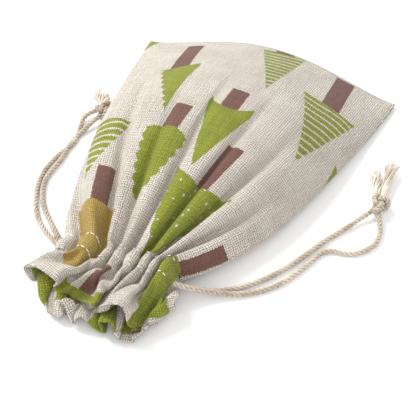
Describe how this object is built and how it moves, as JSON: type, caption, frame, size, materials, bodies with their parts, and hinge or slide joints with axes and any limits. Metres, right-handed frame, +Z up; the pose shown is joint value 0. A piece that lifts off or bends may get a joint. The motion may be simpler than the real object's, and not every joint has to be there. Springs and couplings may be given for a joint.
{
  "type": "drawstring gift pouch",
  "caption": "Printed cotton and linen gift pouch lying flat with its ruffled neck drawn up by a twisted cord at each side.",
  "frame": {"origin": "on the rest surface, under the centre of the pouch's outline without its free cords", "axes": "+Z up, +Y from the mouth to the closed bottom, +X across the pouch"},
  "size_m": [0.1528, 0.18, 0.024],
  "materials": {
    "printed_cloth": "natural plain weave with green, brown and ochre tree print",
    "cotton_cord": "undyed twisted cotton",
    "sewing_thread": "off-white polyester thread"
  },
  "bodies": {
    "pouch": {"front_panel": "printed_cloth", "back_panel": "printed_cloth", "front_casing": "printed_cloth", "back_casing": "printed_cloth", "front_header": "printed_cloth", "back_header": "printed_cloth", "left_side_seam_thread": "sewing_thread", "right_side_seam_thread": "sewing_thread", "bottom_seam_thread": "sewing_thread", "front_body_stitch_row": "sewing_thread", "front_mouth_stitch_row": "sewing_thread", "back_body_stitch_row": "sewing_thread", "back_mouth_stitch_row": "sewing_thread", "left_drawstring_casing_loop": "cotton_cord", "right_drawstring_casing_loop": "cotton_cord"},
    "left_drawstring": {"left_drawstring_front_strand": "cotton_cord", "left_drawstring_back_strand": "cotton_cord", "left_knot": "cotton_cord", "left_frayed_end": "cotton_cord"},
    "right_drawstring": {"right_drawstring_front_strand": "cotton_cord", "right_drawstring_back_strand": "cotton_cord", "right_knot": "cotton_cord", "right_frayed_end_inner": "cotton_cord", "right_frayed_end_outer": "cotton_cord"}
  },
  "joints": [
    {"name": "left_drawstring_pull", "type": "slide", "parent": "pouch", "child": "left_drawstring", "axis": [-1, 0, 0], "range_m": [0, 0.01]},
    {"name": "right_drawstring_pull", "type": "slide", "parent": "pouch", "child": "right_drawstring", "axis": [1, 0, 0], "range_m": [0, 0.01]}
  ]
}
